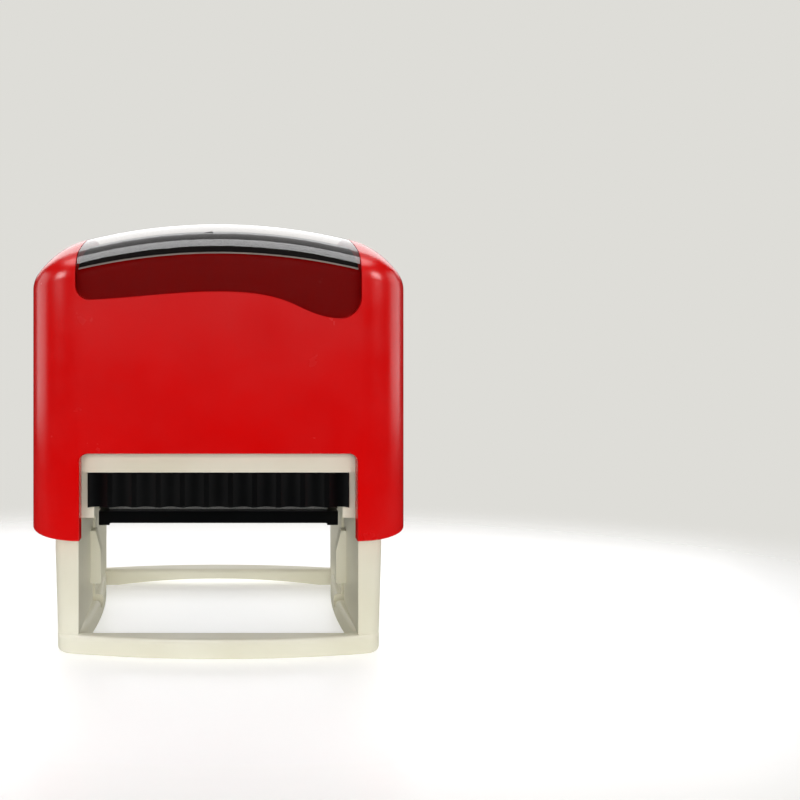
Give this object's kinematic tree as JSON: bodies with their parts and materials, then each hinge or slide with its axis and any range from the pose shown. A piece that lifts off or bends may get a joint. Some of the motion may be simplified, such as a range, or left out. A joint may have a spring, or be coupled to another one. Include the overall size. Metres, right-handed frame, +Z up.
{
  "type": "self inking stamp",
  "caption": "Self inking stamp: a sprung cover slides down over an open foot while the die turns over from the ink pad above it to the paper.",
  "frame": {"origin": "on the printing surface, under the middle of the foot", "axes": "+Z up along the press direction, X along the trunnions, -Y towards the front face with the pad cassette"},
  "size_m": [0.0622, 0.035, 0.0703],
  "materials": {
    "red_cover": "satin",
    "red_button": "satin",
    "smoked_window": "polished",
    "black_card": "matt",
    "black_moulding": "satin",
    "ivory_frame": "satin",
    "spring_steel": "drawn wire",
    "inked_felt": "soaked with ink",
    "grey_foam": "matt",
    "die_rubber": "matt"
  },
  "bodies": {
    "frame": {"base_frame": "ivory_frame", "pad_cassette": "black_moulding", "ink_pad": "inked_felt", "main_spring": "spring_steel"},
    "cover": {"cover": "red_cover", "index_card": "black_card", "yoke": "black_moulding"},
    "window": {"index_window": "smoked_window"},
    "carrier": {"die_carrier": "black_moulding", "die_cushion": "grey_foam", "rubber_die": "die_rubber"},
    "left_button": {"lock_button_left": "red_button"},
    "right_button": {"lock_button_right": "red_button"}
  },
  "joints": [
    {"name": "press", "type": "slide", "parent": "frame", "child": "cover", "axis": [0, 0, -1], "range_m": [0, 0.01765], "stiffness_N_per_m": 600, "springref_m": -0.004, "deforming": ["main_spring"]},
    {"name": "flip", "type": "hinge", "parent": "cover", "child": "carrier", "pos_m": [0, 0, 0.0204], "axis": [1, 0, 0], "range_deg": [0, 180]},
    {"name": "window_lift", "type": "slide", "parent": "cover", "child": "window", "axis": [0, 0, 1], "range_m": [0, 0.025]},
    {"name": "lock_left", "type": "slide", "parent": "cover", "child": "left_button", "axis": [1, 0, 0], "range_m": [0, 0.0014], "stiffness_N_per_m": 300, "springref_m": -0.001},
    {"name": "lock_right", "type": "slide", "parent": "cover", "child": "right_button", "axis": [-1, 0, 0], "range_m": [0, 0.0014], "stiffness_N_per_m": 300, "springref_m": -0.001}
  ],
  "couplings": [
    {"joint": "flip", "follows": "press", "rad_per_m": 177.99}
  ]
}
